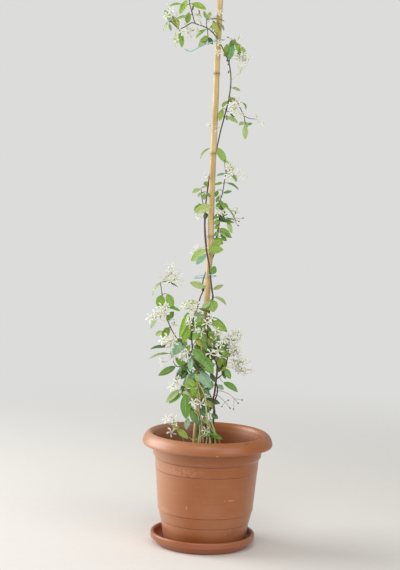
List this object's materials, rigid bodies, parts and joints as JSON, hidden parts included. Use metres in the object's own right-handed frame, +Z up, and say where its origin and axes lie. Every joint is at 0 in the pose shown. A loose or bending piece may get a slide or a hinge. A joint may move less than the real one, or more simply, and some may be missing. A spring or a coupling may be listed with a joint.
{
  "type": "potted climbing jasmine",
  "caption": "Flowering star jasmine tied to a tall bamboo cane in a round terracotta-coloured plastic pot on a saucer.",
  "frame": {"origin": "centre of the saucer's flat underside", "axes": "+Z up along the cane, -Y towards the front, +X to the right"},
  "size_m": [0.263, 0.263, 1.1851],
  "materials": {
    "pot_plastic": "satin",
    "saucer_plastic": "satin",
    "soil": "rough",
    "bamboo": "satin",
    "tie_wire": "matte",
    "leaf": "waxy",
    "young_leaf": "waxy",
    "petals": "matte",
    "spent_stalk": "dry"
  },
  "bodies": {
    "root": {"bamboo_cane": "bamboo", "low_shoot": "young_leaf", "main_stem": "leaf", "pot": "pot_plastic", "saucer": "saucer_plastic", "second_stem": "leaf", "soil": "soil", "spent_calyces": "spent_stalk", "spent_stalk_lower": "spent_stalk", "spent_stalk_upper": "spent_stalk", "spray_cane_middle": "petals", "spray_cane_top": "petals", "spray_cream": "petals", "spray_elbow": "petals", "spray_fork": "petals", "spray_heart": "petals", "spray_heart_right": "petals", "spray_low_front": "petals", "spray_middle_front": "petals", "spray_middle_left": "petals", "spray_outer_right": "petals", "spray_pot_left": "petals", "spray_pot_middle": "petals", "spray_right_far": "petals", "spray_right_lower_haze": "petals", "spray_right_top": "petals", "spray_right_upper": "petals", "spray_right_upper_haze": "petals", "spray_second_tip": "petals", "spray_shoot_low": "petals", "spray_shoot_middle": "petals", "spray_shoot_tip": "petals", "spray_top_inner": "petals", "spray_top_left": "petals", "spray_top_middle": "petals", "spray_top_right": "petals", "spray_twig": "petals", "spray_waist_left": "petals", "spray_young_inner": "petals", "spray_young_left": "petals", "tie_lower": "tie_wire", "tie_upper": "tie_wire", "young_shoot_left": "young_leaf", "young_shoot_middle": "young_leaf", "young_shoot_right": "young_leaf"}
  },
  "joints": []
}
